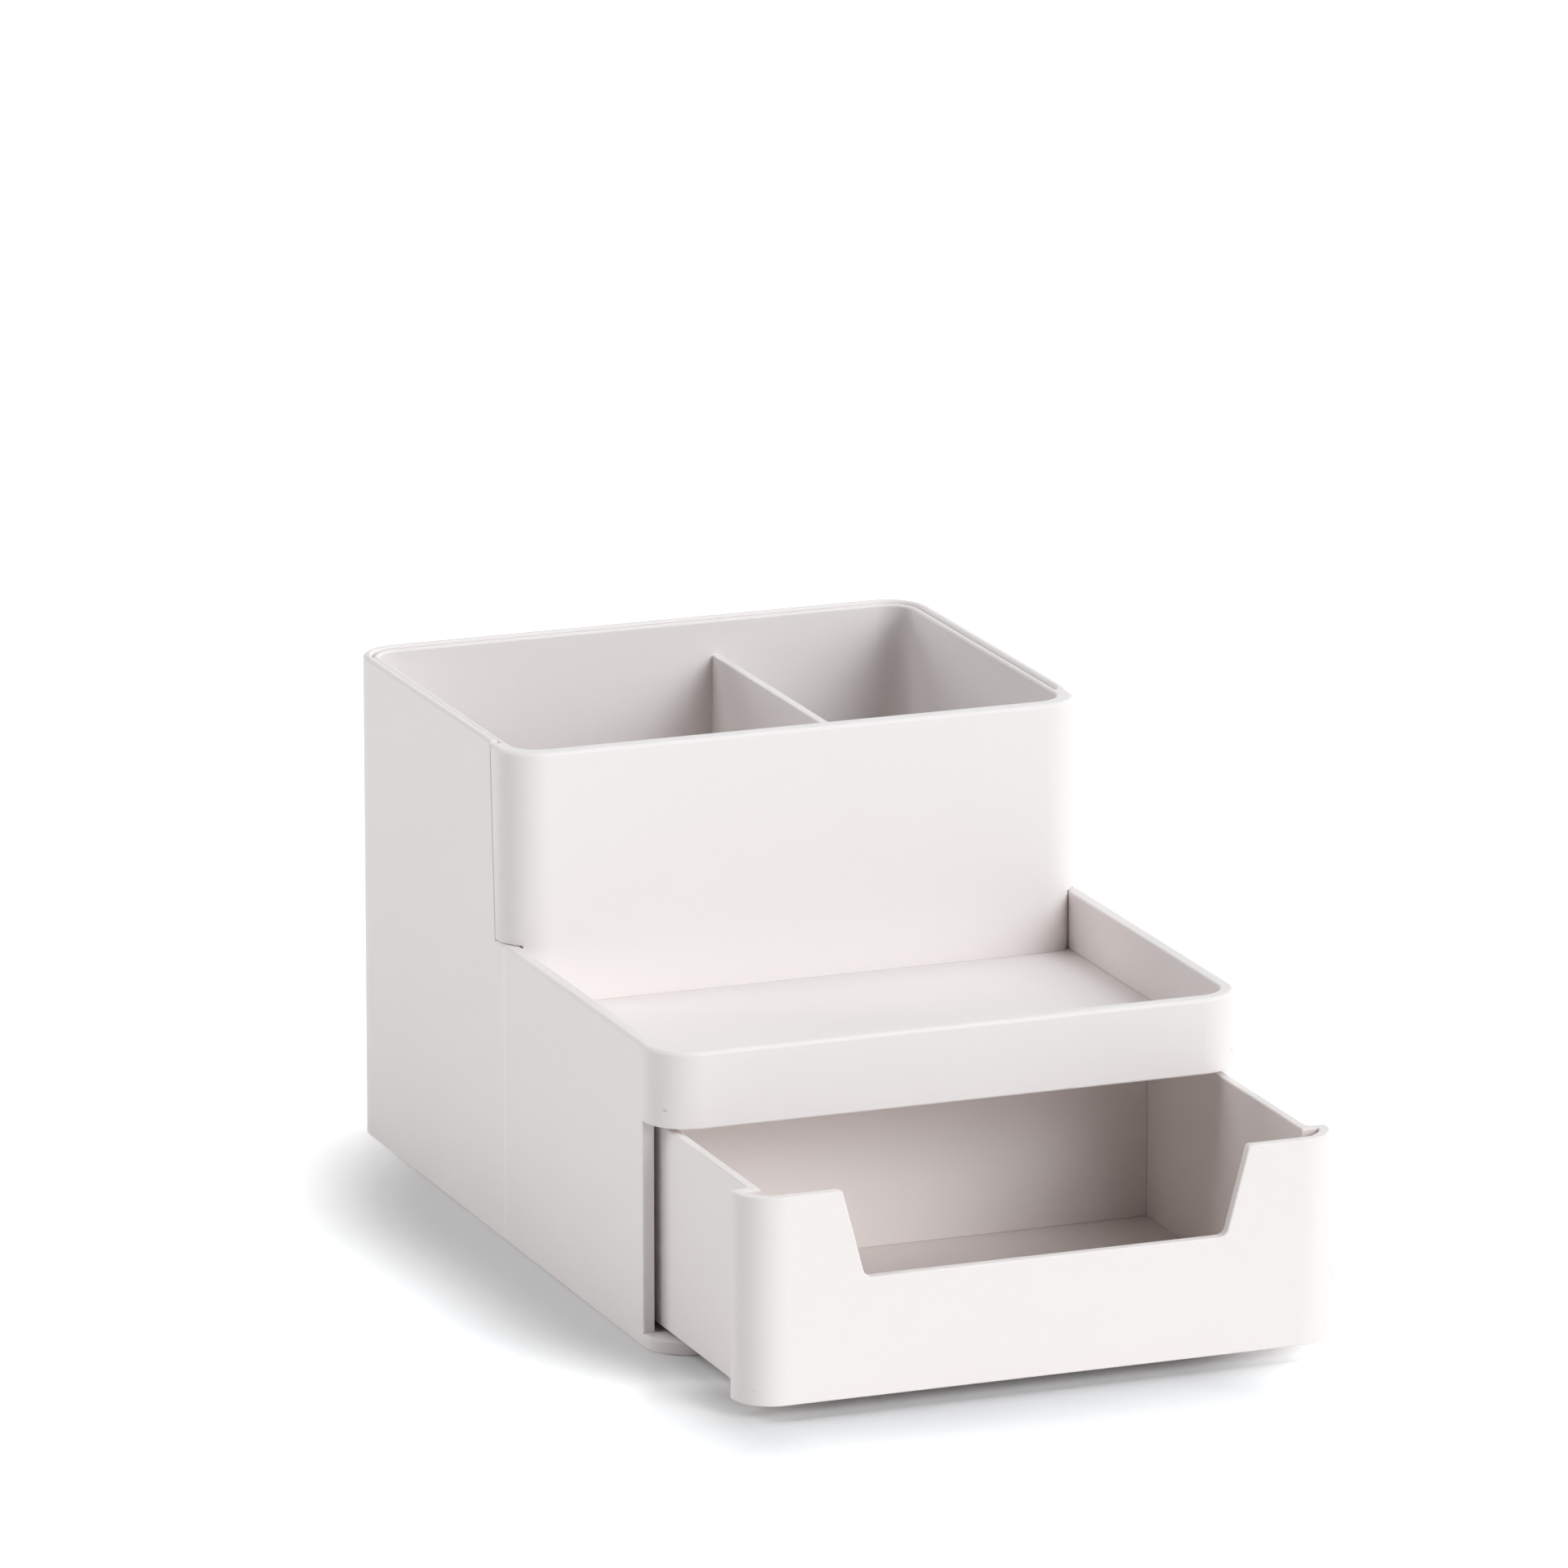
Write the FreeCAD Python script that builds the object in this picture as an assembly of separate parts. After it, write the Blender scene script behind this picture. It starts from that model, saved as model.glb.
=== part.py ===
"""Two-tier desk organizer: a lift-out pen cup behind a tray, over a sliding drawer.

Millimetres. X runs to the right, -Y is the front and +Z is up. The origin is the
middle of the housing's footprint, on the surface that it stands on. Everything is
drawn as the organizer stands with its drawer part of the way out.
"""
import FreeCAD, Part
import math
import os

V = FreeCAD.Vector

# Housing
width = 130.0
depth = 186.0
housing_height = 106.5
corner_radius = 9.5
base_thickness = 3.0
bay_wall = 2.4
tray_wall = 3.2
well_wall = 1.9

# Tray, front band and drawer bay, heights above the table
tray_rim_height = 64.2
tray_floor_height = 51.6
tray_floor_thickness = 2.3
tray_floor_round = 0.5
band_lower_edge = 47.9
bay_depth = 90.25
partition_thickness = 2.0
guide_drop = 1.8
guide_width = 4.0

# Rounding of the edges
outer_edge_round = 0.9
inner_edge_round = 0.6
drawer_edge_round = 0.4
mouth_edge_round = 0.5
base_edge_round = 0.4
seam_edge_round = 0.25
divider_edge_round = 0.35
return_edge_round = 0.6

# Step from the tall rear walls down to the tray
cup_setback = 87.2
seam_lean = 2.6

# Pen cup
cup_wall = 1.4
cup_front_wall = 3.5
cup_floor = 1.8
cup_corner_radius = 8.5
cup_rim_drop = 0.5
cup_fit = 0.25
seam_gap = 0.35
shoulder_gap = 0.12
sill_gap = 0.03
divider_x = 17.9
divider_thickness = 2.0
divider_drop = 7.8

# Drawer
drawer_length = 89.3
drawer_wall = 2.1
drawer_floor = 2.3
drawer_side_gap = 1.5
drawer_top_gap = 0.9
drawer_floor_clearance = 1.1
drawer_inner_radius = 0.2
front_thickness = 2.3
front_corner_radius = 8.5
front_sill_gap = 0.35
closing_gap = 0.3
drawer_opening = 48.5
drawer_travel = 64.0

# Finger notch in the drawer's front
notch_lower_width = 78.6
notch_depth = 18.6
notch_side_angle = 14.9
notch_lower_radius = 2.0
notch_upper_radius = 0.8

# Runners and catch under the drawer, and the stop that keeps it from falling out
runner_x = 46.0
runner_width = 2.4
running_gap = 0.2
catch_thickness = 2.0
stop_width = 36.0
stop_thickness = 3.0
stop_height = 0.8
stop_gap = 0.3

# Anti-slip pads
pad_radius = 5.0
pad_thickness = 1.2
pad_inset_x = 13.0
pad_inset_y = 14.0
pad_fit = 0.1

# Places that follow from the sizes above
half_width = width / 2
front_y = -depth / 2
back_y = depth / 2
bay_ceiling_z = tray_floor_height - tray_floor_thickness
wall_front_y = front_y + corner_radius
bay_half = half_width - bay_wall
tray_half = half_width - tray_wall
well_half = half_width - well_wall
partition_front_y = front_y + bay_depth
partition_back_y = partition_front_y + partition_thickness
cup_front_y = front_y + cup_setback
seam_y = cup_front_y + corner_radius
cup_half = well_half - cup_fit
cup_back_y = back_y - well_wall - cup_fit
cup_radius = corner_radius - well_wall - cup_fit
cup_top_z = housing_height - cup_rim_drop
cup_lower_front_y = partition_back_y + cup_fit
cup_sill_z = tray_floor_height + sill_gap
drawer_front_y = front_y - drawer_opening
drawer_back_y = drawer_front_y + drawer_length
drawer_half = bay_half - drawer_side_gap
drawer_top_z = band_lower_edge - drawer_top_gap
drawer_bottom_z = base_thickness + drawer_floor_clearance
drawer_floor_z = drawer_bottom_z + drawer_floor
front_bottom_z = base_thickness + front_sill_gap
return_y = drawer_front_y + corner_radius - closing_gap
runner_bottom_z = base_thickness + running_gap
catch_front_y = drawer_back_y - catch_thickness
stop_back_y = catch_front_y - (drawer_travel - drawer_opening) - stop_gap
clear = 10.0
touching = 1e-4


def corner(centre_x, centre_y, radius, start_degrees, z):
    """Return a quarter circle, drawn anticlockwise from its start angle."""
    points = []
    for turn in (0.0, 45.0, 90.0):
        angle = math.radians(start_degrees + turn)
        x = centre_x + radius * math.cos(angle)
        y = centre_y + radius * math.sin(angle)
        points.append(V(x, y, z))
    return Part.Arc(points[0], points[1], points[2]).toShape()


def rounded_block(half, y0, y1, z0, z1, front_radius, back_radius):
    """Return an upright block, symmetric about X = 0, with round corners."""
    arcs = [
        corner(-half + front_radius, y0 + front_radius, front_radius, 180.0, z0),
        corner(half - front_radius, y0 + front_radius, front_radius, 270.0, z0),
        corner(half - back_radius, y1 - back_radius, back_radius, 0.0, z0),
        corner(-half + back_radius, y1 - back_radius, back_radius, 90.0, z0),
    ]
    edges = []
    for index, arc in enumerate(arcs):
        following = arcs[(index + 1) % len(arcs)]
        edges.append(arc)
        edges.append(Part.makeLine(arc.Vertexes[-1].Point, following.Vertexes[0].Point))
    return Part.Face(Part.Wire(edges)).extrude(V(0, 0, z1 - z0))


def box(x0, x1, y0, y1, z0, z1):
    """Return a plain block between two corners."""
    return Part.makeBox(x1 - x0, y1 - y0, z1 - z0, V(x0, y0, z0))


def side_profile(points):
    """Return a (y, z) outline drawn out over more than the whole width."""
    reach = half_width + clear
    corners = [V(-reach, y, z) for y, z in points]
    face = Part.Face(Part.makePolygon(corners + corners[:1]))
    return face.extrude(V(2 * reach, 0, 0))


def sample_points(edge):
    """Return an edge's ends and its middle."""
    middle = edge.valueAt((edge.FirstParameter + edge.LastParameter) / 2)
    return [vertex.Point for vertex in edge.Vertexes] + [middle]


def edges_where(shape, test):
    """Return the edges whose ends and middle all pass a test."""
    return [edge for edge in shape.Edges if all(test(point) for point in sample_points(edge))]


def near(value, target):
    """Tell whether two lengths are the same, to the model's tolerance."""
    return abs(value - target) < touching


def level_edges(shape, z):
    """Return the edges of a shape that lie in the level plane at z."""
    return edges_where(shape, lambda point: near(point.z, z))


def outer_edges(shape, z):
    """Return the level edges at z that lie on the outside of a hollow block."""
    loops = Part.sortEdges(level_edges(shape, z))
    return max(loops, key=lambda loop: Part.Wire(loop).BoundBox.XLength)


def inner_edges(shape, z):
    """Return the level edges at z that lie round the mouth of a hollow block."""
    loops = Part.sortEdges(level_edges(shape, z))
    return min(loops, key=lambda loop: Part.Wire(loop).BoundBox.XLength)


def edge_round(size, wall):
    """Return an edge's rounding, kept small enough for its wall."""
    return min(size, 0.45 * wall)


def soft_ring(outer, inner, z, wall):
    """Cut one block from another and round both edges of the ring's top at z."""
    ring = outer.cut(inner)
    ring = ring.makeFillet(edge_round(outer_edge_round, wall), outer_edges(ring, z))
    return ring.makeFillet(edge_round(inner_edge_round, wall), inner_edges(ring, z))


def seam_y_at(z):
    """Where the leaning seam's front face lies at a height."""
    return seam_y + seam_lean * (z - tray_rim_height) / (housing_height - tray_rim_height)


def soft_seam(shape, gap, wall):
    """Round the edges of the leaning face that stands a gap in front of the seam."""
    def on_seam(point):
        return near(point.y, seam_y_at(point.z) - gap) and point.z > tray_rim_height
    return shape.makeFillet(edge_round(seam_edge_round, wall), edges_where(shape, on_seam))


def housing():
    """Base, walls, tray, front band, partition and drawer guides in one moulding."""
    lower = rounded_block(half_width, front_y, back_y, 0.0, tray_rim_height,
                          corner_radius, corner_radius)
    lower = lower.makeFillet(base_edge_round, level_edges(lower, 0.0))
    tray_radius = corner_radius - tray_wall
    tray_room = rounded_block(tray_half, front_y + tray_wall, back_y - tray_wall,
                              tray_floor_height, tray_rim_height + clear,
                              tray_radius, tray_radius)
    tray_room = tray_room.makeFillet(tray_floor_round, level_edges(tray_room, tray_floor_height))
    body = soft_ring(lower, tray_room, tray_rim_height, tray_wall).fuse(rear_walls())
    body = soft_mouth(body.cut(rear_well()).cut(drawer_bay()))
    for side in (-1, 1):
        body = body.cut(wall_front_edge(side)).fuse(drawer_guide(side))
    body = body.fuse(drawer_stop())
    for x, y in pad_places():
        body = body.cut(pad_pocket(x, y))
    return body.removeSplitter()


def rear_walls():
    """The tall walls round the pen cup, cut off in front along the leaning seam."""
    well_radius = corner_radius - well_wall
    outer = rounded_block(half_width, front_y, back_y, tray_floor_height, housing_height,
                          corner_radius, corner_radius)
    inner = rounded_block(well_half, front_y + well_wall, back_y - well_wall,
                          tray_floor_height - clear, housing_height + clear,
                          well_radius, well_radius)
    walls = soft_ring(outer, inner, housing_height, well_wall)
    above = housing_height + clear
    outline = (
        (seam_y_at(tray_floor_height), tray_floor_height),
        (seam_y_at(above), above),
        (back_y + clear, above),
        (back_y + clear, tray_floor_height),
    )
    return soft_seam(walls.common(side_profile(outline)), 0.0, well_wall)


def rear_well():
    """The space that the pen cup drops into."""
    return rounded_block(well_half, partition_back_y, back_y - well_wall, base_thickness,
                         housing_height + clear, well_wall, corner_radius - well_wall)


def drawer_bay():
    """The space that the drawer slides in, open all the way round in front."""
    bay_radius = corner_radius - tray_wall
    bay = rounded_block(bay_half, front_y + tray_wall, partition_front_y, base_thickness,
                        bay_ceiling_z, bay_radius, bay_wall)
    mouth = box(-half_width - clear, half_width + clear, front_y - clear, wall_front_y,
                base_thickness, band_lower_edge)
    return bay.fuse(mouth).removeSplitter()


def soft_mouth(body):
    """Round the lip's upper edge and the band's lower edge round the drawer's mouth."""
    def on_mouth(point):
        past_x = max(abs(point.x) - (half_width - corner_radius), 0.0)
        past_y = max(wall_front_y - point.y, 0.0)
        outside = near(math.hypot(past_x, past_y), corner_radius)
        at_lip = near(point.z, base_thickness)
        at_band = near(point.z, band_lower_edge)
        return outside and (at_lip or at_band) and point.y < wall_front_y + touching
    return body.makeFillet(edge_round(mouth_edge_round, base_thickness),
                           edges_where(body, on_mouth))


def wall_front_edge(side):
    """Cutter that rounds the outer front edge of a side wall."""
    radius = edge_round(mouth_edge_round, bay_wall)
    height = band_lower_edge - base_thickness
    centre = V(side * (half_width - radius), wall_front_y + radius, base_thickness)
    block = Part.makeBox(radius + clear, radius + clear, height,
                         V(min(centre.x, centre.x + side * (radius + clear)),
                           centre.y - radius - clear, base_thickness))
    return block.cut(Part.makeCylinder(radius, height, centre))


def drawer_guide(side):
    """A rib under the tray floor that keeps the open drawer from tipping."""
    outer_x = bay_half + bay_wall / 2
    inner_x = bay_half - guide_width
    low = min(side * outer_x, side * inner_x)
    return box(low, low + outer_x - inner_x, wall_front_y,
               partition_front_y + partition_thickness / 2,
               bay_ceiling_z - guide_drop, bay_ceiling_z + tray_floor_thickness / 2)


def drawer_stop():
    """A low step on the base that the drawer's catch meets."""
    return box(-stop_width / 2, stop_width / 2, stop_back_y - stop_thickness, stop_back_y,
               base_thickness / 2, base_thickness + stop_height)


def pad_places():
    """Centres of the four pads: front left, front right, back left and back right."""
    x = half_width - pad_inset_x
    y = back_y - pad_inset_y
    return ((-x, -y), (x, -y), (-x, y), (x, y))


def pad_pocket(x, y):
    """The shallow hole in the base that a pad is stuck into."""
    return Part.makeCylinder(pad_radius + pad_fit, pad_thickness + clear, V(x, y, -clear))


def pad(x, y):
    """One round anti-slip pad, level with the base's lower face."""
    return Part.makeCylinder(pad_radius, pad_thickness, V(x, y, 0))


def pen_cup():
    """Two-compartment cup whose front and front corners show above the tray."""
    body = cup_rear_block().fuse(cup_front_block()).fuse(cup_shoulders()).removeSplitter()
    body = body.cut(cup_room())
    body = body.makeFillet(edge_round(inner_edge_round, cup_wall), inner_edges(body, cup_top_z))
    return body.fuse(divider()).removeSplitter()


def cup_rear_block():
    """The part of the cup that goes down behind the partition."""
    block = rounded_block(cup_half, cup_lower_front_y, cup_back_y, base_thickness, cup_top_z,
                          cup_radius, cup_radius)
    return block.makeFillet(edge_round(inner_edge_round, cup_wall), level_edges(block, cup_top_z))


def cup_envelope(z0):
    """The cup's outside where it shows, from z0 up to its soft rim."""
    block = rounded_block(half_width, cup_front_y, back_y, z0, cup_top_z,
                          cup_corner_radius, corner_radius)
    return block.makeFillet(edge_round(outer_edge_round, cup_front_wall),
                            level_edges(block, cup_top_z))


def cup_front_block():
    """The cup's front, which goes down between the tray's walls to the tray floor."""
    slot_half = tray_half - cup_fit
    slot = box(-slot_half, slot_half, cup_front_y, seam_y, cup_sill_z, cup_top_z)
    lower_sides = edges_where(slot, lambda point: near(abs(point.x), slot_half)
                              and near(point.z, cup_sill_z))
    slot = slot.makeFillet(tray_floor_round + cup_fit, lower_sides)
    return cup_envelope(cup_sill_z).common(slot)


def cup_shoulders():
    """The cup's front corners, flush with the housing above the tray's walls."""
    lower_z = tray_rim_height + shoulder_gap
    block = cup_envelope(lower_z)
    block = block.makeFillet(edge_round(seam_edge_round, cup_front_wall),
                             level_edges(block, lower_z))
    outline = (
        (cup_front_y - clear, lower_z),
        (seam_y_at(lower_z) - seam_gap, lower_z),
        (seam_y_at(cup_top_z) - seam_gap, cup_top_z),
        (cup_front_y - clear, cup_top_z),
    )
    return soft_seam(block.common(side_profile(outline)), seam_gap, cup_front_wall)


def cup_room():
    """The space inside the cup, wider in front above the tray floor."""
    half = cup_half - cup_wall
    back = cup_back_y - cup_wall
    radius = cup_radius - cup_wall
    low = rounded_block(half, cup_lower_front_y + cup_wall, back, base_thickness + cup_floor,
                        cup_top_z + clear, radius, radius)
    high = rounded_block(half, cup_front_y + cup_front_wall, back, cup_sill_z + cup_floor,
                         cup_top_z + clear, radius, radius)
    return low.fuse(high)


def divider():
    """Upright wall between the two compartments, lower than the rim."""
    x0 = divider_x - divider_thickness / 2
    x1 = divider_x + divider_thickness / 2
    top = cup_top_z - divider_drop
    back = cup_back_y - cup_wall / 2
    low = box(x0, x1, cup_lower_front_y + cup_wall / 2, back,
              base_thickness + cup_floor / 2, cup_sill_z + cup_floor)
    high = box(x0, x1, cup_front_y + cup_front_wall / 2, back, cup_sill_z + cup_floor / 2, top)
    for x in (x0, x1):
        edge = edges_where(high, lambda point: near(point.x, x) and near(point.z, top))
        high = high.makeFillet(edge_round(divider_edge_round, divider_thickness), edge)
    return low.fuse(high)


def drawer():
    """Open drawer with a wrapped front, a finger notch, runners and a catch."""
    body = drawer_tub().fuse(drawer_front())
    for side in (-1, 1):
        body = body.fuse(shoulder_fillet(side))
    body = body.cut(drawer_room()).cut(finger_notch()).removeSplitter()
    body = body.makeFillet(edge_round(drawer_edge_round, drawer_wall), rim_edges(body))
    for side in (-1, 1):
        body = body.fuse(runner(side))
    return body.fuse(catch()).removeSplitter()


def drawer_tub():
    """The drawer's outside behind its front, as a solid block with soft lower edges."""
    radius = drawer_inner_radius + drawer_wall
    tub = rounded_block(drawer_half, drawer_front_y + front_thickness / 2, drawer_back_y,
                        drawer_bottom_z, drawer_top_z, radius, radius)
    return tub.makeFillet(edge_round(drawer_edge_round, drawer_wall),
                          level_edges(tub, drawer_bottom_z))


def front_block(inset, back_y):
    """A block with the outline of the drawer's front, drawn in by the inset."""
    radius = front_corner_radius - inset
    block = rounded_block(half_width - inset, drawer_front_y + inset, drawer_back_y,
                          front_bottom_z, drawer_top_z, radius, radius)
    return block.common(box(-half_width, half_width, drawer_front_y, back_y,
                            front_bottom_z, drawer_top_z))


def drawer_front():
    """The drawer's front with its round corners, as a solid block as wide as the housing."""
    block = front_block(0.0, return_y)
    ends = edges_where(block, lambda point: near(point.y, return_y)
                       and near(abs(point.x), half_width))
    block = block.makeFillet(return_edge_round, ends)
    return block.makeFillet(edge_round(drawer_edge_round, front_thickness),
                            level_edges(block, front_bottom_z))


def shoulder_fillet(side):
    """The round inner corner where a side wall steps out to the front."""
    radius = drawer_side_gap
    low_z = drawer_bottom_z + drawer_edge_round
    low_x = min(side * drawer_half, side * bay_half)
    block = box(low_x, low_x + radius, return_y, return_y + radius, low_z, drawer_top_z)
    return block.cut(Part.makeCylinder(radius, drawer_top_z - low_z,
                                       V(side * bay_half, return_y + radius, low_z)))


def drawer_room():
    """The space inside the drawer, which follows the wrapped front into its corners."""
    room = rounded_block(drawer_half - drawer_wall, drawer_front_y + front_thickness,
                         drawer_back_y - drawer_wall, drawer_floor_z, drawer_top_z + clear,
                         drawer_inner_radius, drawer_inner_radius)
    corners = front_block(front_thickness, return_y - drawer_wall)
    above = box(-half_width, half_width, drawer_front_y, return_y, drawer_floor_z,
                drawer_top_z + clear)
    return room.fuse(corners.common(above))


def rim_edges(body):
    """Return the edges round the drawer's rim and down both sides of the finger notch."""
    inner_y = drawer_front_y + front_thickness
    inside_x = half_width - front_corner_radius - touching

    def on_rim(point):
        on_front = near(point.y, drawer_front_y) or near(point.y, inner_y)
        in_notch = abs(point.x) < inside_x and point.z > drawer_top_z - notch_depth - touching
        return near(point.z, drawer_top_z) or (on_front and in_notch)
    return edges_where(body, on_rim)


def runner(side):
    """A rib under the drawer floor that slides on the housing's base."""
    x = side * runner_x
    return box(x - runner_width / 2, x + runner_width / 2,
               drawer_front_y + front_thickness / 2, catch_front_y + catch_thickness / 2,
               runner_bottom_z, drawer_bottom_z + drawer_floor / 2)


def catch():
    """A cross rib at the drawer's rear that meets the stop on the base."""
    return box(-runner_x, runner_x, catch_front_y, drawer_back_y - drawer_edge_round,
               runner_bottom_z, drawer_bottom_z + drawer_floor / 2)


def finger_notch():
    """Cutter for the notch in the drawer's front, wider at its mouth."""
    y0 = drawer_front_y - clear
    lower_z = drawer_top_z - notch_depth
    lower = notch_lower_width / 2
    upper = lower + notch_depth * math.tan(math.radians(notch_side_angle))
    outline = [(upper + clear, drawer_top_z + clear, 0), (upper + clear, drawer_top_z, 0),
               (upper, drawer_top_z, notch_upper_radius), (lower, lower_z, notch_lower_radius)]
    right = [(V(x, y0, z), radius) for x, z, radius in outline]
    left = [(V(-x, y0, z), radius) for x, z, radius in reversed(outline)]
    face = Part.Face(rounded_polygon(right + left))
    return face.extrude(V(0, clear + front_corner_radius, 0))


def rounded_polygon(corners):
    """Return a closed wire of straight runs joined by tangent arcs."""
    edges = []
    previous_end = None
    first_start = None
    for index, (here, radius) in enumerate(corners):
        before = (corners[index - 1][0] - here).normalize()
        after = (corners[(index + 1) % len(corners)][0] - here).normalize()
        half_angle = before.getAngle(after) / 2
        start = here + before * (radius / math.tan(half_angle))
        end = here + after * (radius / math.tan(half_angle))
        if previous_end is None:
            first_start = start
        else:
            edges.append(Part.makeLine(previous_end, start))
        if radius > 0:
            towards_centre = (before + after).normalize()
            rise = radius / math.sin(half_angle) - radius
            edges.append(Part.Arc(start, here + towards_centre * rise, end).toShape())
        previous_end = end
    edges.append(Part.makeLine(previous_end, first_start))
    return Part.Wire(edges)


def save(name, shape):
    """Write one node as a STEP file and print what it is."""
    shape.exportStep(os.path.join("parts", name + ".step"))
    limits = shape.optimalBoundingBox(False, False)
    state = "valid" if shape.isValid() else "NOT VALID"
    print(name, state, "solids", len(shape.Solids), "volume %.0f" % shape.Volume,
          "x %.2f %.2f" % (limits.XMin, limits.XMax),
          "y %.2f %.2f" % (limits.YMin, limits.YMax),
          "z %.2f %.2f" % (limits.ZMin, limits.ZMax))


os.makedirs("parts", exist_ok=True)
save("housing", housing())
save("pen_cup", pen_cup())
save("drawer", drawer())
pad_names = ("pad_front_left", "pad_front_right", "pad_back_left", "pad_back_right")
for pad_name, (pad_x, pad_y) in zip(pad_names, pad_places()):
    save(pad_name, pad(pad_x, pad_y))
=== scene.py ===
"""Looks of a two-tier desk organizer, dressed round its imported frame."""

import logging
import math
from abc import ABC, abstractmethod
from dataclasses import dataclass, field, fields
from enum import Enum
from typing import ClassVar, Optional, Union

import bmesh
import bpy
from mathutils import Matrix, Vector


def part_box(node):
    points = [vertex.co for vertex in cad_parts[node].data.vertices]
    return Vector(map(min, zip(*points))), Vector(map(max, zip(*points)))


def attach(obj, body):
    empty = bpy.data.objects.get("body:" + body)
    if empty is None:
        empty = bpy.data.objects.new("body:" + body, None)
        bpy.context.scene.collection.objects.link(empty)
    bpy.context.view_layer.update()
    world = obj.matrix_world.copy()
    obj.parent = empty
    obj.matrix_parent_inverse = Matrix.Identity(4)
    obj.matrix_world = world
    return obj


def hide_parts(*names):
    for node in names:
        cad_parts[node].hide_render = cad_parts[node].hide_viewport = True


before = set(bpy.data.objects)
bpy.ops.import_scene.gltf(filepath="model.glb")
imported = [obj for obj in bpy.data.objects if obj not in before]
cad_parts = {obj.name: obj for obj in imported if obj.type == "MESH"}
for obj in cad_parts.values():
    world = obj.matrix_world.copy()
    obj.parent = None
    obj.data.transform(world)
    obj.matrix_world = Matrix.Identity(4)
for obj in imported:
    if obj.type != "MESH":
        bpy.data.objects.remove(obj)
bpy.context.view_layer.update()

LOG = logging.getLogger("organizer")
MM = 0.001

Rgba = tuple[float, float, float, float]
Socket = bpy.types.NodeSocket
Feed = Union[float, tuple[float, ...], Socket]


class Slot(Enum):
    """The record's material slots."""

    HOUSING = "housing_plastic"
    CUP = "cup_plastic"
    DRAWER = "drawer_plastic"
    PAD = "pad_silicone"


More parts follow.
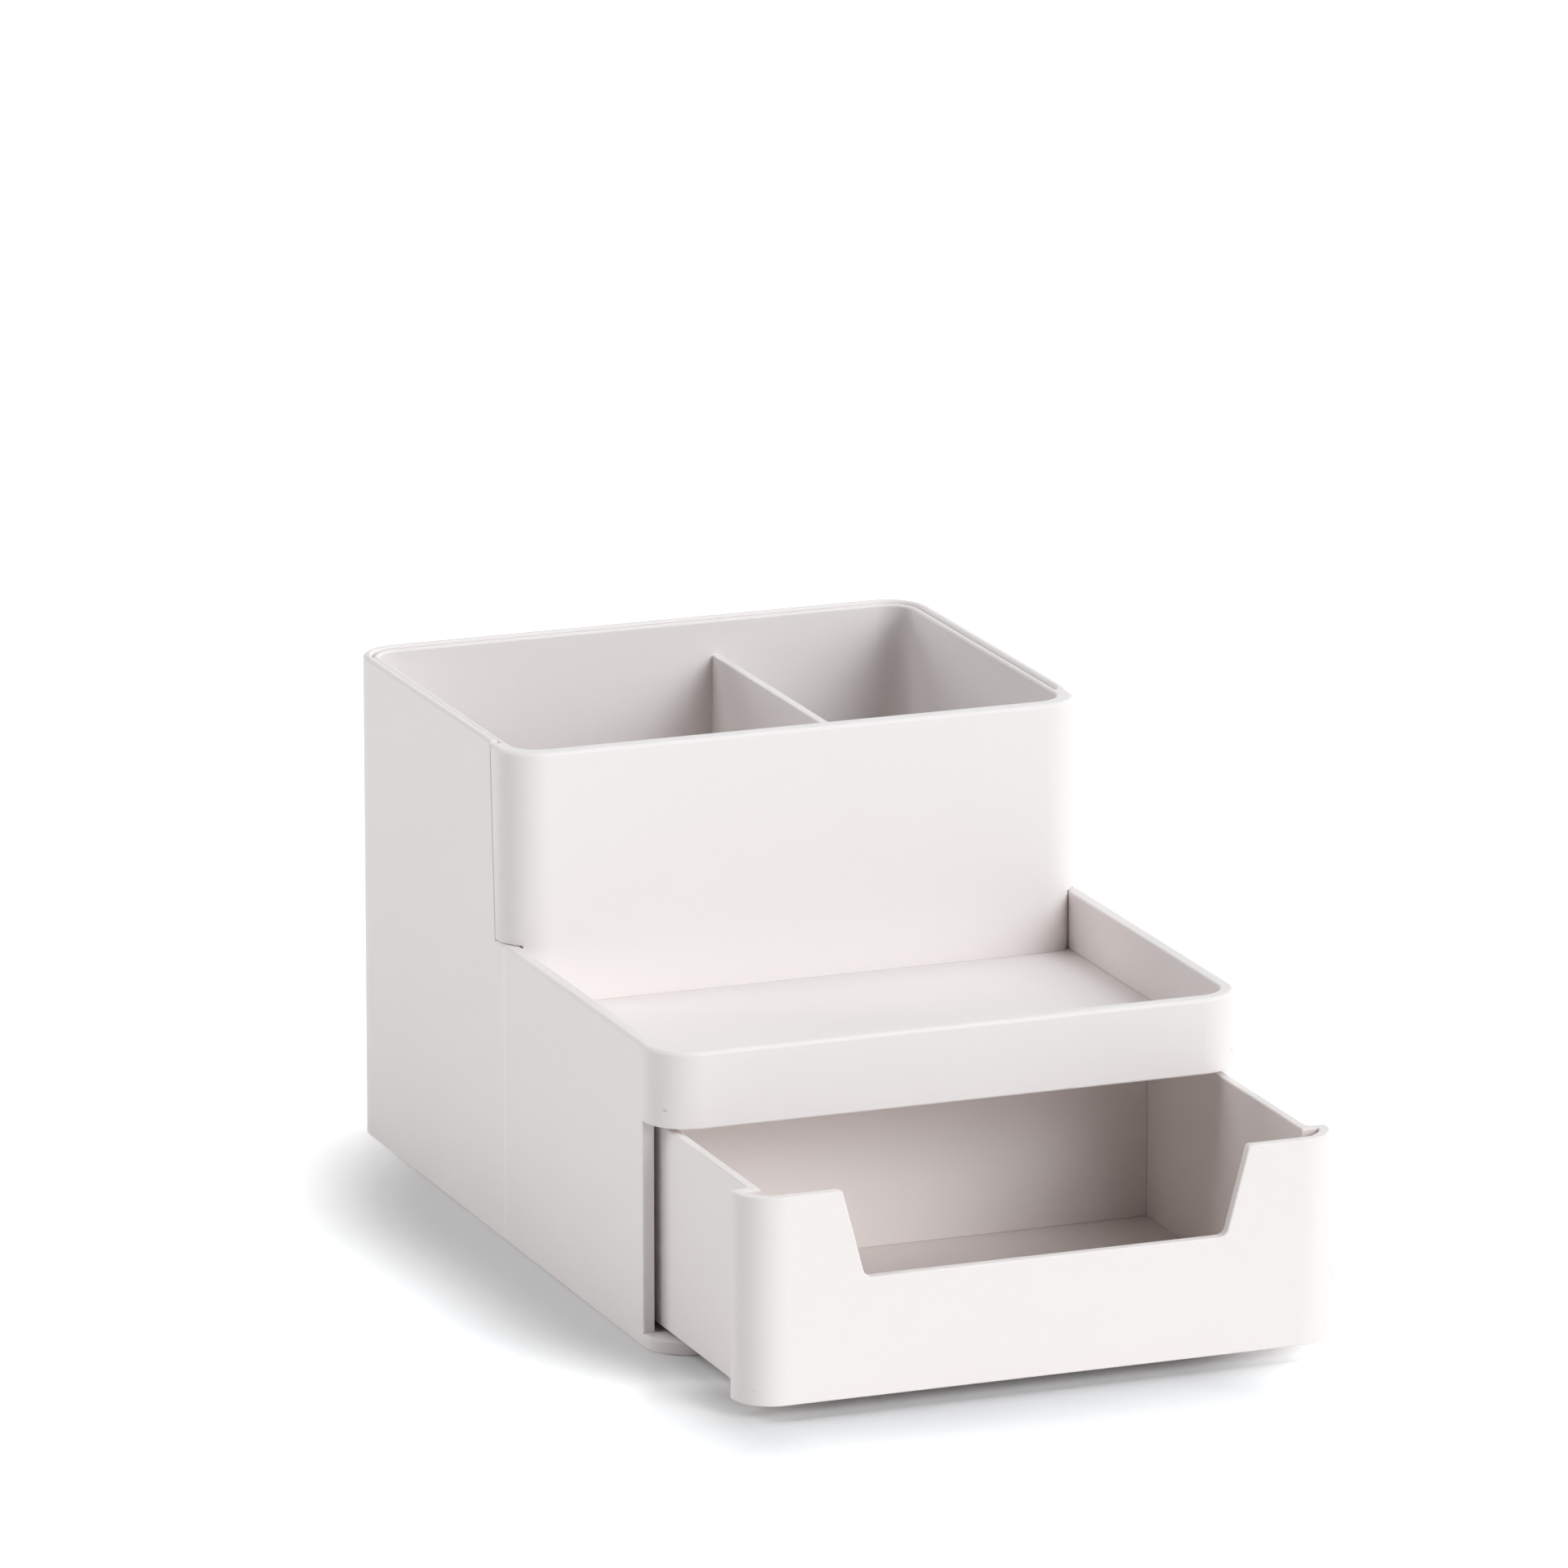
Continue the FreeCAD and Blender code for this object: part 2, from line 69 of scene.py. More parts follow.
class Graph:
    """A node tree that is being built."""

    def __init__(self, tree: bpy.types.NodeTree) -> None:
        """Keep the tree that the nodes go into."""
        self.tree = tree

    def add(self, kind: str, **settings: object) -> bpy.types.Node:
        """Add a node.

        Args:
            kind: Blender's name for the node's type.
            **settings: The node's own properties.

        Returns:
            The new node.
        """
        node = self.tree.nodes.new(kind)
        for name, value in settings.items():
            setattr(node, name, value)
        return node

    def feed(self, socket: Socket, value: Feed) -> None:
        """Give a socket its value.

        Args:
            socket: The input that is fed.
            value: Another node's output, or a plain value.
        """
        if isinstance(value, bpy.types.NodeSocket):
            self.tree.links.new(value, socket)
        else:
            socket.default_value = value

    def calc(self, operation: str, *values: Feed, clamp: bool = False) -> Socket:
        """Add a Math node.

        Args:
            operation: Blender's name for the operation.
            *values: What it works on.
            clamp: Whether the result stays from 0 to 1.

        Returns:
            The result.
        """
        node = self.add("ShaderNodeMath", operation=operation, use_clamp=clamp)
        for socket, value in zip(node.inputs, values):
            self.feed(socket, value)
        return node.outputs[0]

    def step(self, value: Feed, start: Feed, end: Feed) -> Socket:
        """Rise smoothly from 0 to 1.

        Args:
            value: What is looked at.
            start: Where the result leaves 0.
            end: Where it reaches 1.

        Returns:
            The result.
        """
        node = self.add("ShaderNodeMapRange", interpolation_type="SMOOTHSTEP")
        for socket, given in zip(node.inputs, (value, start, end)):
            self.feed(socket, given)
        return node.outputs[0]

    def place_mm(self, carrier: Optional[bpy.types.Object] = None) -> Socket:
        """Return the place on the piece in millimetres, at rest and at every pose.

        Args:
            carrier: Another piece, if the place is measured as that one carries it along.

        Returns:
            The place, as a vector.
        """
        place = self.add("ShaderNodeTexCoord", object=carrier).outputs["Object"]
        scaled = self.add("ShaderNodeVectorMath", operation="SCALE")
        self.feed(scaled.inputs[0], place)
        self.feed(scaled.inputs["Scale"], 1 / MM)
        return scaled.outputs[0]

    def split(self, vector: Socket) -> list[Socket]:
        """Take a vector apart.

        Args:
            vector: The vector.

        Returns:
            Its x, y and z.
        """
        node = self.add("ShaderNodeSeparateXYZ")
        self.feed(node.inputs[0], vector)
        return list(node.outputs)

    def gap(self, value: Socket, target: Feed) -> Socket:
        """Return how far a value is from a target, never less than 0."""
        return self.calc("ABSOLUTE", self.calc("SUBTRACT", value, target))

    def length(self, first: Socket, second: Socket) -> Socket:
        """Return the length of the slanted side over two distances square to each other."""
        return self.calc("SQRT", self.calc("ADD", self.calc("POWER", first, 2.0),
                                           self.calc("POWER", second, 2.0)))

    def noise(self, place: Socket, size: Feed, detail: float = 2.0) -> Socket:
        """Add a soft noise that averages 0.

        Args:
            place: Where it is read, in millimetres.
            size: How large its blotches are, in millimetres.
            detail: How many finer layers it has.

        Returns:
            The noise, from about -0.5 to 0.5.
        """
        node = self.add("ShaderNodeTexNoise")
        self.feed(node.inputs["Vector"], place)
        self.feed(node.inputs["Scale"], self.calc("DIVIDE", 1.0, size))
        self.feed(node.inputs["Detail"], detail)
        return self.calc("SUBTRACT", node.outputs["Fac"], 0.5)

    def tint(self, colour: Feed, factor: Socket) -> Socket:
        """Make a colour lighter or darker.

        Args:
            colour: The colour.
            factor: What it is multiplied by.

        Returns:
            The changed colour.
        """
        node = self.add("ShaderNodeVectorMath", operation="SCALE")
        self.feed(node.inputs[0], colour)
        self.feed(node.inputs["Scale"], factor)
        return node.outputs[0]

    def blend(self, factor: Socket, first: Feed, second: Feed) -> Socket:
        """Go from one colour to another.

        Args:
            factor: 0 for the first colour and 1 for the second.
            first: The first colour.
            second: The second colour.

        Returns:
            The colour in between.
        """
        node = self.add("ShaderNodeMix", data_type="RGBA")
        used = [socket for socket in node.inputs if socket.enabled]
        for socket, value in zip(used, (factor, first, second)):
            self.feed(socket, value)
        return next(socket for socket in node.outputs if socket.enabled)

    def seen(self) -> Socket:
        """Tell what is looked at, straight, in a reflection or through glass.

        Returns:
            1 for a ray that looks, and 0 for one that only gathers light.
        """
        rays = self.add("ShaderNodeLightPath").outputs
        shown = self.calc("MAXIMUM", rays["Is Camera Ray"], rays["Is Glossy Ray"])
        return self.calc("MAXIMUM", shown, rays["Is Transmission Ray"])


@dataclass(frozen=True)
class Effect(ABC):
    """A change over a surface: a node group whose inputs are this class's fields."""

    outputs: ClassVar[dict[str, str]] = {"Height": "NodeSocketFloat"}

    @classmethod
    @abstractmethod
    def wire(cls, graph: Graph, given: dict[str, Socket]) -> dict[str, Socket]:
        """Build the inside of the group.

        Args:
            graph: The group's own tree.
            given: The group's inputs by name.

        Returns:
            What goes to each output.
        """

    @classmethod
    def group(cls) -> bpy.types.NodeTree:
        """Find the group, and build it the first time.

        Returns:
            The group.
        """
        tree = bpy.data.node_groups.get(cls.__name__)
        if tree is not None:
            return tree
        tree = bpy.data.node_groups.new(cls.__name__, "ShaderNodeTree")
        for entry in fields(cls):
            kind = "NodeSocketFloat" if isinstance(entry.default, float) else "NodeSocketColor"
            tree.interface.new_socket(entry.name, in_out="INPUT", socket_type=kind)
        for name, kind in cls.outputs.items():
            tree.interface.new_socket(name, in_out="OUTPUT", socket_type=kind)
        graph = Graph(tree)
        given = {socket.name: socket for socket in graph.add("NodeGroupInput").outputs}
        result = graph.add("NodeGroupOutput").inputs
        for name, socket in cls.wire(graph, given).items():
            graph.feed(result[name], socket)
        return tree

    def put(self, graph: Graph) -> bpy.types.Node:
        """Place the group in a material with this effect's own values.

        Args:
            graph: The material's tree.

        Returns:
            The group's node.
        """
        node = graph.add("ShaderNodeGroup", node_tree=self.group())
        for entry in fields(self):
            graph.feed(node.inputs[entry.name], getattr(self, entry.name))
        return node


@dataclass(frozen=True)
class MouldedSurface(Effect):
    """Moulded stock: its colour, satin grain, faint waviness and a few specks. Sizes in mm."""

    outputs: ClassVar[dict[str, str]] = {
        "Colour": "NodeSocketColor", "Roughness": "NodeSocketFloat", "Height": "NodeSocketFloat"}

    colour: Rgba = (0.8, 0.8, 0.8, 1.0)
    colour_drift: float = 0.02
    colour_drift_size: float = 38.0
    roughness: float = 0.5
    roughness_drift: float = 0.08
    roughness_drift_size: float = 13.0
    grain_size: float = 0.32
    grain_depth: float = 0.004
    wave_size: float = 9.0
    wave_depth: float = 0.006
    speck_spacing: float = 6.0
    speck_radius: float = 0.13
    speck_tone: float = 0.75

    @classmethod
    def wire(cls, graph: Graph, given: dict[str, Socket]) -> dict[str, Socket]:
        """Build the inside of the group.

        Args:
            graph: The group's own tree.
            given: The group's inputs by name.

        Returns:
            What goes to each output.
        """
        place = graph.place_mm()
        drift = graph.calc("MULTIPLY", graph.noise(place, given["colour_drift_size"]),
                           given["colour_drift"])
        cells = graph.add("ShaderNodeTexVoronoi")
        graph.feed(cells.inputs["Vector"], place)
        graph.feed(cells.inputs["Scale"], graph.calc("DIVIDE", 1.0, given["speck_spacing"]))
        away = graph.calc("MULTIPLY", cells.outputs["Distance"], given["speck_spacing"])
        clear = graph.step(away, 0.0, given["speck_radius"])
        speck = graph.calc("SUBTRACT", 1.0, clear)
        darker = graph.calc("MULTIPLY", speck, graph.calc("SUBTRACT", 1.0, given["speck_tone"]))
        factor = graph.calc("SUBTRACT", graph.calc("ADD", 1.0, drift), darker)
        polish = graph.calc("MULTIPLY",
                            graph.noise(place, given["roughness_drift_size"], detail=3.0),
                            given["roughness_drift"])
        grain = graph.calc("MULTIPLY", graph.noise(place, given["grain_size"]),
                           given["grain_depth"])
        wave = graph.calc("MULTIPLY", graph.noise(place, given["wave_size"], detail=0.0),
                          given["wave_depth"])
        return {"Colour": graph.tint(given["colour"], factor),
                "Roughness": graph.calc("ADD", given["roughness"], polish, clamp=True),
                "Height": graph.calc("ADD", grain, wave)}


@dataclass(frozen=True)
class SinkLine(Effect):
    """A shallow upright hollow outside the side walls, where a partition meets them inside, with
    a painted highlight: the colour is made lighter along the hollow.
    """

    outputs: ClassVar[dict[str, str]] = {"Height": "NodeSocketFloat", "Tone": "NodeSocketFloat"}

    along: float = 0.0
    width: float = 1.0
    depth: float = 0.02
    painted_highlight: float = 0.05
    top: float = 60.0
    outer: float = 60.0

    @classmethod
    def wire(cls, graph: Graph, given: dict[str, Socket]) -> dict[str, Socket]:
        """Build the inside of the group.

        Args:
            graph: The group's own tree.
            given: The group's inputs by name.

        Returns:
            What goes to each output.
        """
        across, along, height = graph.split(graph.place_mm())
        away = graph.calc("DIVIDE", graph.calc("SUBTRACT", along, given["along"]), given["width"])
        square = graph.calc("POWER", away, 2.0)
        hollow = graph.calc("EXPONENT", graph.calc("MULTIPLY", square, -1.0))
        below_top = graph.calc("LESS_THAN", height, given["top"])
        outside = graph.calc("GREATER_THAN", graph.calc("ABSOLUTE", across), given["outer"])
        shown = graph.calc("MULTIPLY", hollow, graph.calc("MULTIPLY", below_top, outside))
        depth = graph.calc("MULTIPLY", shown, given["depth"])
        return {"Height": graph.calc("MULTIPLY", depth, -1.0),
                # Tone is a painted highlight: the colour is made lighter along the hollow
                "Tone": graph.calc("MULTIPLY_ADD", shown, given["painted_highlight"], 1.0)}


@dataclass(frozen=True)
class EjectorMarks(Effect):
    """The four round marks that ejector pins leave on a moulding's underside."""

    across: float = 30.0
    along: float = 30.0
    middle: float = 0.0
    radius: float = 3.0
    rim: float = 0.2
    depth: float = 0.05

    facing_down: ClassVar[float] = -0.9

    @classmethod
    def wire(cls, graph: Graph, given: dict[str, Socket]) -> dict[str, Socket]:
        """Build the inside of the group.

        Args:
            graph: The group's own tree.
            given: The group's inputs by name.

        Returns:
            What goes to each output.
        """
        x, y, _ = graph.split(graph.place_mm())
        right = graph.gap(graph.calc("ABSOLUTE", x), given["across"])
        back = graph.gap(graph.gap(y, given["middle"]), given["along"])
        away = graph.length(right, back)
        rim = graph.calc("SUBTRACT", given["radius"], given["rim"])
        inside = graph.calc("SUBTRACT", 1.0, graph.step(away, rim, given["radius"]))
        normal = graph.add("ShaderNodeTexCoord").outputs["Normal"]
        below = graph.calc("LESS_THAN", graph.split(normal)[2], cls.facing_down)
        depth = graph.calc("MULTIPLY", graph.calc("MULTIPLY", inside, below), given["depth"])
        return {"Height": graph.calc("MULTIPLY", depth, -1.0)}


@dataclass(frozen=True)
class Scuffs(Effect):
    """Short upright scuffs in a low band of a side wall, left by the drawer's use."""

    outputs: ClassVar[dict[str, str]] = {"Height": "NodeSocketFloat", "Tone": "NodeSocketFloat"}

    lower: float = 3.0
    upper: float = 12.0
    front: float = -120.0
    back: float = -90.0
    size: float = 1.1
    faint_from: float = 0.13
    full_from: float = 0.22
    depth: float = 0.01
    darkening: float = 0.06

    upright_stretch: ClassVar[tuple[float, float, float]] = (1.0, 1.0, 0.22)

    @classmethod
    def wire(cls, graph: Graph, given: dict[str, Socket]) -> dict[str, Socket]:
        """Build the inside of the group.

        Args:
            graph: The group's own tree.
            given: The group's inputs by name.

        Returns:
            What goes to each output.
        """
        place = graph.place_mm()
        _, y, z = graph.split(place)
        stretch = graph.add("ShaderNodeVectorMath", operation="MULTIPLY")
        graph.feed(stretch.inputs[0], place)
        graph.feed(stretch.inputs[1], cls.upright_stretch)
        streaks = graph.step(graph.noise(stretch.outputs[0], given["size"], detail=1.0),
                             given["faint_from"], given["full_from"])
        band = graph.calc("MULTIPLY", graph.step(z, given["upper"], given["lower"]),
                          graph.calc("MULTIPLY", graph.step(y, given["front"], given["back"]),
                                     graph.step(y, given["back"], given["front"])))
        shown = graph.calc("MULTIPLY", streaks, band)
        darker = graph.calc("MULTIPLY", shown, given["darkening"])
        depth = graph.calc("MULTIPLY", shown, given["depth"])
        return {"Height": graph.calc("MULTIPLY", depth, -1.0),
                "Tone": graph.calc("SUBTRACT", 1.0, darker)}


@dataclass(frozen=True)
class PaintedCornerShade(Effect):
    """Painted shade along the sharp inner corners of an open box: the colour is darkened where
    shade falls. Sizes in mm.
    """

    outputs: ClassVar[dict[str, str]] = {"Tone": "NodeSocketFloat"}

    half_width: float = 60.0
    front: float = -60.0
    sides_from: float = -55.0
    back: float = 60.0
    floor: float = 5.0
    reach: float = 0.5
    tone: float = 0.5

    @classmethod
    def wire(cls, graph: Graph, given: dict[str, Socket]) -> dict[str, Socket]:
        """Build the inside of the group.

        Args:
            graph: The group's own tree.
            given: The group's inputs by name.

        Returns:
            What goes to each output.
        """
        x, y, z = graph.split(graph.place_mm())
        past_end = graph.calc("MAXIMUM", graph.calc("SUBTRACT", given["sides_from"], y), 0.0)
        side = graph.length(graph.gap(graph.calc("ABSOLUTE", x), given["half_width"]), past_end)
        end = graph.calc("MINIMUM", graph.gap(y, given["front"]), graph.gap(y, given["back"]))
        wall = graph.calc("MINIMUM", side, end)
        low = graph.length(wall, graph.gap(z, given["floor"]))
        upright = graph.length(side, end)
        above = graph.calc("LESS_THAN", z, given["floor"])
        buried = graph.calc("MULTIPLY", above, given["reach"])
        nearest = graph.calc("ADD", graph.calc("MINIMUM", low, upright), buried)
        # painted shade: the colour is darkened to tone at the corner lines and returns to full
        # colour over reach
        unshaded = graph.step(nearest, 0.0, given["reach"])
        lift = graph.calc("SUBTRACT", 1.0, given["tone"])
        return {"Tone": graph.calc("MULTIPLY_ADD", unshaded, lift, given["tone"])}


@dataclass(frozen=True)
class Plastic:
    """A satin moulded plastic, with the marks that its moulding and its use left; some marks also
    paint shade or a highlight into its colour.
    """

    name: str
    surface: MouldedSurface
    marks: tuple[Effect, ...] = ()
    specular: float = 0.25

    def material(self) -> bpy.types.Material:
        """Build the material.

        Returns:
            The finished material.
        """
        made = bpy.data.materials.new(self.name)
        made.use_nodes = True
        graph = Graph(made.node_tree)
        shader = made.node_tree.nodes["Principled BSDF"]
        surface = self.surface.put(graph)
        colour, height = surface.outputs["Colour"], surface.outputs["Height"]
        for mark in self.marks:
            put = mark.put(graph).outputs
            if "Height" in mark.outputs:
                height = graph.calc("ADD", height, put["Height"])
            # a mark's Tone is real wear, or painted shade, or a painted highlight
            if "Tone" in mark.outputs:
                colour = graph.tint(colour, put["Tone"])
        graph.feed(shader.inputs["Base Color"], colour)
        graph.feed(shader.inputs["Roughness"], surface.outputs["Roughness"])
        graph.feed(shader.inputs["Specular IOR Level"], self.specular)
        bump = graph.add("ShaderNodeBump")
        graph.feed(bump.inputs["Strength"], 1.0)
        graph.feed(bump.inputs["Distance"], MM)
        graph.feed(bump.inputs["Height"], height)
        graph.feed(shader.inputs["Normal"], bump.outputs["Normal"])
        return made


def dress(piece: bpy.types.Object, material: bpy.types.Material) -> None:
    """Give a piece one material.

    Args:
        piece: The piece.
        material: The material.
    """
    piece.data.materials.clear()
    piece.data.materials.append(material)
    LOG.info("%s: dressed in %s", piece.name, material.name)


@dataclass
class Housing:
    """The outer moulding: base, side walls, open tray and the well for the pen cup."""

    node: str = "housing"
    surface: MouldedSurface = MouldedSurface(colour=(0.86, 0.797, 0.782, 1.0))
    # the sink line's colour is painted lighter along the hollow, a painted highlight
    sink_line: SinkLine = SinkLine(along=-1.75, width=0.6, depth=0.04, painted_highlight=0.05, top=64.0,
                                   outer=64.6)
    pin_marks: EjectorMarks = EjectorMarks(across=38.0, along=60.0)
    # painted shade: darkens the tray's colour along its inner corner lines, where shade falls
    tray_painted_shade: PaintedCornerShade = PaintedCornerShade(half_width=61.8, front=-89.8, sides_from=-83.5,
                                       back=89.8, floor=51.6, reach=0.6, tone=0.62)

    def dress(self) -> None:
        """Give the housing its plastic, with sink lines, ejector marks and painted shade in the
        tray's inner corners.
        """
        marks = (self.sink_line, self.pin_marks, self.tray_painted_shade)
        plastic = Plastic(Slot.HOUSING.value, self.surface, marks)
        dress(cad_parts[self.node], plastic.material())


@dataclass
class PenCup:
    """The divided cup that lifts out of the housing."""

    node: str = "pen_cup"
    surface: MouldedSurface = MouldedSurface(colour=(0.86, 0.8, 0.786, 1.0))
    pin_marks: EjectorMarks = EjectorMarks(across=45.0, along=28.0, middle=45.0)

    def dress(self) -> None:
        """Give the cup its plastic, with ejector marks underneath."""
        plastic = Plastic(Slot.CUP.value, self.surface, (self.pin_marks,))
        dress(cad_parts[self.node], plastic.material())


@dataclass
class Drawer:
    """The drawer with its notched front."""

    node: str = "drawer"
    surface: MouldedSurface = MouldedSurface(colour=(0.86, 0.787, 0.766, 1.0))
    pin_marks: EjectorMarks = EjectorMarks(across=42.0, along=30.0, middle=-97.0)
    scuffs: Scuffs = Scuffs(front=-135.0, back=-98.0)
    # painted shade: darkens the drawer's colour along its inner corner lines, where shade falls
    room_painted_shade: PaintedCornerShade = PaintedCornerShade(half_width=59.0, front=-139.2, sides_from=-134.4,
                                       back=-54.3, floor=6.4, reach=0.4, tone=0.72)

    def dress(self) -> None:
        """Give the drawer its plastic, with ejector marks, a few scuffs and painted shade in its
        inner corners.
        """
        marks = (self.pin_marks, self.scuffs, self.room_painted_shade)
        plastic = Plastic(Slot.DRAWER.value, self.surface, marks)
        dress(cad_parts[self.node], plastic.material())


@dataclass
class PadSet:
    """The four ringed anti-slip pads under the housing. Sizes in mm."""

    body: str = "housing_body"
    corners: tuple[str, ...] = ("front_left", "front_right", "back_left", "back_right")
    ring_pitch: float = 1.1
    ring_depth: float = 0.25
    rim_round: float = 0.3
    steps_per_ring: int = 8
    rim_steps: int = 6
    turn_steps: int = 96
    merge_distance: float = 1e-4
    surface: MouldedSurface = MouldedSurface(
        colour=(0.6, 0.59, 0.58, 1.0), roughness=0.72, roughness_drift=0.15, grain_size=0.2,
        speck_spacing=1.5, speck_radius=0.2)
    specular: float = 0.4

    def build(self) -> None:
        """Make the four pads and let each stand for its CAD node."""
        silicone = self.silicone()
        for corner in self.corners:
            node = f"pad_{corner}"
            pad = self.pad(f"ringed_{node}", *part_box(node))
            dress(pad, silicone)
            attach(pad, self.body)
            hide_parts(node)

    def silicone(self) -> bpy.types.Material:
        """Build the pads' matt, slightly dusty silicone."""
        return Plastic(Slot.PAD.value, self.surface, specular=self.specular).material()

    def profile(self, radius: float, height: float) -> list[Vector]:
        """Draw half of a pad's section, from its middle below to its middle above.

        Args:
            radius: The pad's radius in metres.
            height: Its height in metres.

        Returns:
            The points, with y at zero.
        """
        pitch, depth, rim = (v * MM for v in (self.ring_pitch, self.ring_depth, self.rim_round))
        rings = int((radius - rim) / pitch)
        steps = rings * self.steps_per_ring
        points = []
        for step in range(steps + 1):
            out = (radius - rim) * step / steps
            lift = 0.5 + 0.5 * math.cos(math.tau * step / self.steps_per_ring + math.pi)
            points.append(Vector((out, 0.0, depth * lift)))
        for step in range(1, self.rim_steps + 1):
            turn = math.pi / 2 * step / self.rim_steps
            points.append(Vector((radius - rim + rim * math.sin(turn), 0.0,
                                  rim - rim * math.cos(turn))))
        return points + [Vector((radius, 0.0, height)), Vector((0.0, 0.0, height))]

    def pad(self, name: str, low: Vector, high: Vector) -> bpy.types.Object:
        """Turn one pad's section into a solid.

        Args:
            name: The pad's name.
            low: The lowest corner of the space that it fills.
            high: The highest corner.

        Returns:
            The pad.
        """
        middle = Vector(((low.x + high.x) / 2, (low.y + high.y) / 2, low.z))
        points = self.profile((high.x - low.x) / 2, high.z - low.z)
        work = bmesh.new()
        line = [work.verts.new(point) for point in points]
        edges = [work.edges.new(pair) for pair in zip(line, line[1:])]
        bmesh.ops.spin(work, geom=line + edges, cent=(0, 0, 0), axis=(0, 0, 1),
                       angle=math.tau, steps=self.turn_steps)
        bmesh.ops.remove_doubles(work, verts=work.verts, dist=self.merge_distance * MM)
        bmesh.ops.recalc_face_normals(work, faces=work.faces)
        bmesh.ops.translate(work, verts=work.verts, vec=middle)
        mesh = bpy.data.meshes.new(name)
        work.to_mesh(mesh)
        work.free()
        mesh.shade_smooth()
        pad = bpy.data.objects.new(name, mesh)
        bpy.context.scene.collection.objects.link(pad)
        return pad


@dataclass
class Camera:
    """The camera's place, aim and lens."""

    place: Vector = field(default_factory=lambda: Vector((-0.9316, -2.3734, 0.7559)))
    aim: Vector = field(default_factory=lambda: Vector((-0.00144, 0.0, 0.0927)))
    lens_mm: float = 287.6
    sensor_mm: float = 36.0
    far_m: float = 50.0

    def build(self) -> None:
        """Make the camera and give it to the scene."""
        data = bpy.data.cameras.new("camera")
        data.lens = self.lens_mm
        data.sensor_width = self.sensor_mm
        data.clip_end = self.far_m
        camera = bpy.data.objects.new("camera", data)
        bpy.context.scene.collection.objects.link(camera)
        camera.location = self.place
        camera.rotation_euler = (self.aim - self.place).to_track_quat("-Z", "Y").to_euler()
        bpy.context.scene.camera = camera
        LOG.info("camera: placed")


class Light(Enum):
    """The colours of the lamps' light, from the warmest to the coolest."""

    SOFT = (0.963, 1.005, 1.008)
    PLAIN = (0.955, 1.01, 1.022)
    COOL = (0.942, 1.012, 1.038)


@dataclass(frozen=True)
class Lamp:
    """A soft distant lamp. Azimuth is 0 in front of the drawer and grows to the right."""

    name: str
    azimuth: float
    elevation: float
    strength: float
    spread: float = 30.0
    light: Light = Light.PLAIN

    def build(self) -> None:
        """Make the lamp, aimed at the organizer."""
        data = bpy.data.lights.new(self.name, "SUN")
        data.energy = self.strength
        data.angle = math.radians(self.spread)
        data.color = self.light.value
        lamp = bpy.data.objects.new(self.name, data)
        bpy.context.scene.collection.objects.link(lamp)
        azimuth, elevation = math.radians(self.azimuth), math.radians(self.elevation)
        source = Vector((math.cos(elevation) * math.sin(azimuth),
                         -math.cos(elevation) * math.cos(azimuth),
                         math.sin(elevation)))
        lamp.location = source
        lamp.rotation_euler = source.to_track_quat("Z", "Y").to_euler()
        LOG.info("%s: lit", self.name)


@dataclass
class Surroundings:
    """White where it is looked at, and a weak level light for everything else."""

    ambient: float = 0.01

    def build(self) -> None:
        """Make the world."""
        world = bpy.data.worlds.new("surroundings")
        bpy.context.scene.world = world
        world.use_nodes = True
        world.node_tree.nodes.clear()
        graph = Graph(world.node_tree)
        white = graph.add("ShaderNodeBackground")
        dim = graph.add("ShaderNodeBackground")
        graph.feed(dim.inputs["Strength"], self.ambient)
        mix = graph.add("ShaderNodeMixShader")
        for socket, value in zip(mix.inputs, (graph.seen(), dim.outputs[0], white.outputs[0])):
            graph.feed(socket, value)
        graph.feed(graph.add("ShaderNodeOutputWorld").inputs["Surface"], mix.outputs[0])
        LOG.info("surroundings: made")


@dataclass(frozen=True)
class Plan:
    """A rectangle with round corners in plan. Sizes in mm."""

    middle: tuple[float, float]
    half: tuple[float, float]
    corner: float

    def distance(self, graph: Graph, place: Socket) -> Socket:
        """Measure how far a place is outside the rectangle.

        Args:
            graph: The tree that measures it.
            place: The place, in millimetres.

        Returns:
            The distance in millimetres, less than 0 inside.
        """
        beyond = []
        for value, middle, half in zip(graph.split(place), self.middle, self.half):
            beyond.append(graph.calc("SUBTRACT", graph.gap(value, middle), half - self.corner))
        outside = graph.length(*(graph.calc("MAXIMUM", past, 0.0) for past in beyond))
        inside = graph.calc("MINIMUM", graph.calc("MAXIMUM", *beyond), 0.0)
        return graph.calc("SUBTRACT", graph.calc("ADD", outside, inside), self.corner)


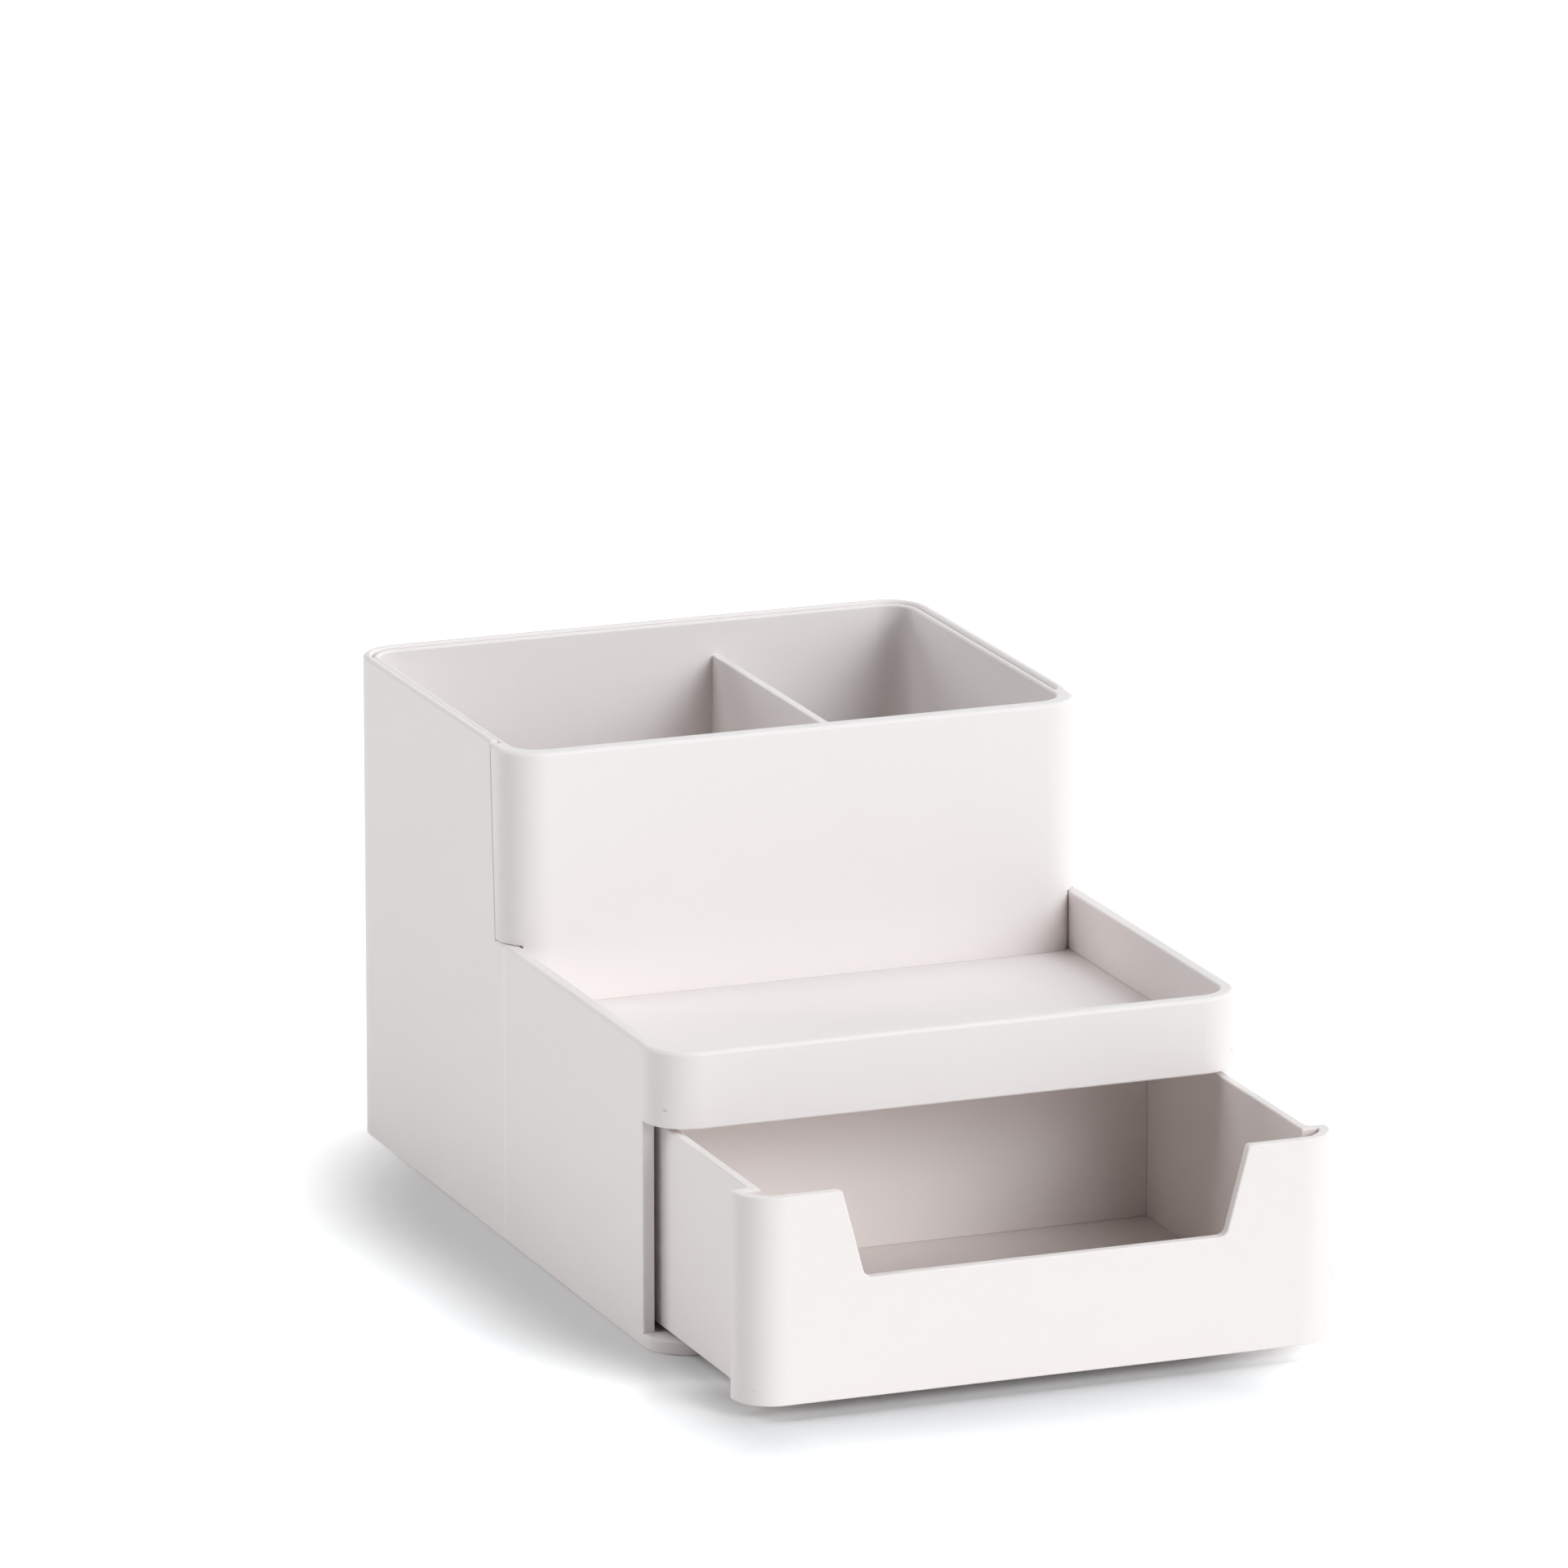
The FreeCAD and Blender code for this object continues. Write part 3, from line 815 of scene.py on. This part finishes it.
@dataclass
class Floor:
    """A wide white floor that takes the organizer's shadow and fades to pure white.

    Near the housing and near the drawer, wherever it has slid to, the floor only shows the
    light that falls on it. Farther out it also glows where it is looked at.
    """

    half_size: float = 15.0
    colour: Rgba = (0.97, 0.97, 0.97, 1.0)
    seen_colour: Rgba = (0.842, 0.831, 0.841, 1.0)
    roughness: float = 0.3
    specular: float = 0.2
    near_housing: Plan = Plan(middle=(3.4, -19.8), half=(82.1, 109.9), corner=82.1)
    near_drawer: Plan = Plan(middle=(-13.2, -135.9), half=(48.7, 15.5), corner=0.6)
    drawer_node: str = "drawer"
    glow_start_mm: float = -5.4
    glow_end_mm: float = 36.9
    glow: float = 0.594

    def build(self) -> None:
        """Make the floor."""
        half = self.half_size
        mesh = bpy.data.meshes.new("floor")
        mesh.from_pydata([(-half, -half, 0), (half, -half, 0), (half, half, 0), (-half, half, 0)],
                         [], [(0, 1, 2, 3)])
        floor = bpy.data.objects.new("floor", mesh)
        bpy.context.scene.collection.objects.link(floor)
        mesh.materials.append(self.material())
        LOG.info("floor: laid")

    def material(self) -> bpy.types.Material:
        """Build the floor's material.

        Returns:
            A satin white, which glows where it is looked at away from the organizer.
        """
        made = bpy.data.materials.new("floor")
        made.use_nodes = True
        graph = Graph(made.node_tree)
        shader = made.node_tree.nodes["Principled BSDF"]
        graph.feed(shader.inputs["Roughness"], self.roughness)
        graph.feed(shader.inputs["Specular IOR Level"], self.specular)
        graph.feed(shader.inputs["Emission Strength"], self.glow)
        seen = graph.seen()
        graph.feed(shader.inputs["Base Color"],
                   graph.blend(seen, self.colour, self.seen_colour))
        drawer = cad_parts[self.drawer_node]
        distance = graph.calc("MINIMUM",
                              self.near_housing.distance(graph, graph.place_mm()),
                              self.near_drawer.distance(graph, graph.place_mm(drawer)))
        away = graph.step(distance, self.glow_start_mm, self.glow_end_mm)
        graph.feed(shader.inputs["Emission Color"], graph.calc("MULTIPLY", away, seen))
        return made


LAMPS = (
    Lamp("key_lamp_high", azimuth=22, elevation=36, strength=0.66),
    Lamp("key_lamp_middle", azimuth=22, elevation=24, strength=0.59),
    Lamp("key_lamp_low", azimuth=28, elevation=17, strength=1.08, spread=34.0),
    Lamp("left_lamp_high", azimuth=-95, elevation=50, strength=0.76, light=Light.SOFT),
    Lamp("left_lamp_low", azimuth=-135, elevation=18, strength=0.93, light=Light.SOFT),
    Lamp("top_lamp", azimuth=85, elevation=70, strength=0.76, light=Light.COOL),
    Lamp("right_lamp", azimuth=110, elevation=25, strength=0.49),
    Lamp("rear_lamp", azimuth=140, elevation=25, strength=0.36),
)


def main() -> None:
    """Dress the organizer, then build the camera and the studio."""
    logging.basicConfig(level=logging.INFO, format="%(name)s: %(message)s")
    bpy.context.scene.view_settings.view_transform = "Standard"
    Camera().build()
    Housing().dress()
    PenCup().dress()
    Drawer().dress()
    PadSet().build()
    Surroundings().build()
    Floor().build()
    for lamp in LAMPS:
        lamp.build()


if __name__ == "__main__":
    main()
